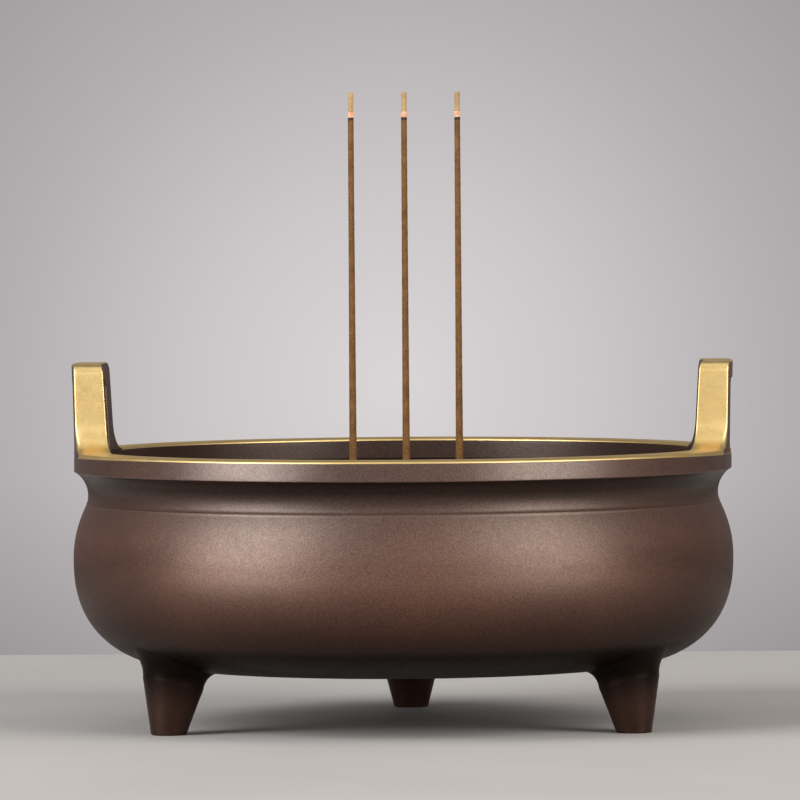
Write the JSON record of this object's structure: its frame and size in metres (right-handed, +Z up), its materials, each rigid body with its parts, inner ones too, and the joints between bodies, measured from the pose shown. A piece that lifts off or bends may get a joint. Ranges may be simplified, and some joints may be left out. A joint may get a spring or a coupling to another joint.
{
  "type": "incense burner",
  "caption": "Round tripod censer of patinated bronze with a cove neck, upright loop ears, an ash bed and upright burning incense sticks.",
  "frame": {"origin": "on the bowl's axis, at the level the feet stand on", "axes": "+Z up along the bowl's axis, the loop ears on the X axis, the single back foot on +Y"},
  "size_m": [0.1322, 0.132, 0.1266],
  "materials": {
    "bronze": "satin dark brown patina, polished gold on the lip and on the ears' edges",
    "ash": "loose matte powder",
    "incense": "matte, finely speckled",
    "char": "matte burnt",
    "ember": "glowing",
    "ash_tip": "matte, flaky"
  },
  "bodies": {
    "burner": {"bowl": "bronze", "ear_left": "bronze", "ear_right": "bronze", "foot_back": "bronze", "foot_front_left": "bronze", "foot_front_right": "bronze", "ash_bed": "ash"},
    "incense_left": {"incense_left_stick": "incense", "incense_left_char": "char", "incense_left_ember": "ember", "incense_left_ash_tip": "ash_tip"},
    "incense_middle": {"incense_middle_stick": "incense", "incense_middle_char": "char", "incense_middle_ember": "ember", "incense_middle_ash_tip": "ash_tip"},
    "incense_right": {"incense_right_stick": "incense", "incense_right_char": "char", "incense_right_ember": "ember", "incense_right_ash_tip": "ash_tip"}
  },
  "joints": [
    {"name": "lift_left", "type": "slide", "parent": "burner", "child": "incense_left", "axis": [0, 0, 1], "range_m": [0, 0.035]},
    {"name": "lift_middle", "type": "slide", "parent": "burner", "child": "incense_middle", "axis": [0, 0, 1], "range_m": [0, 0.035]},
    {"name": "lift_right", "type": "slide", "parent": "burner", "child": "incense_right", "axis": [0, 0, 1], "range_m": [0, 0.035]}
  ]
}
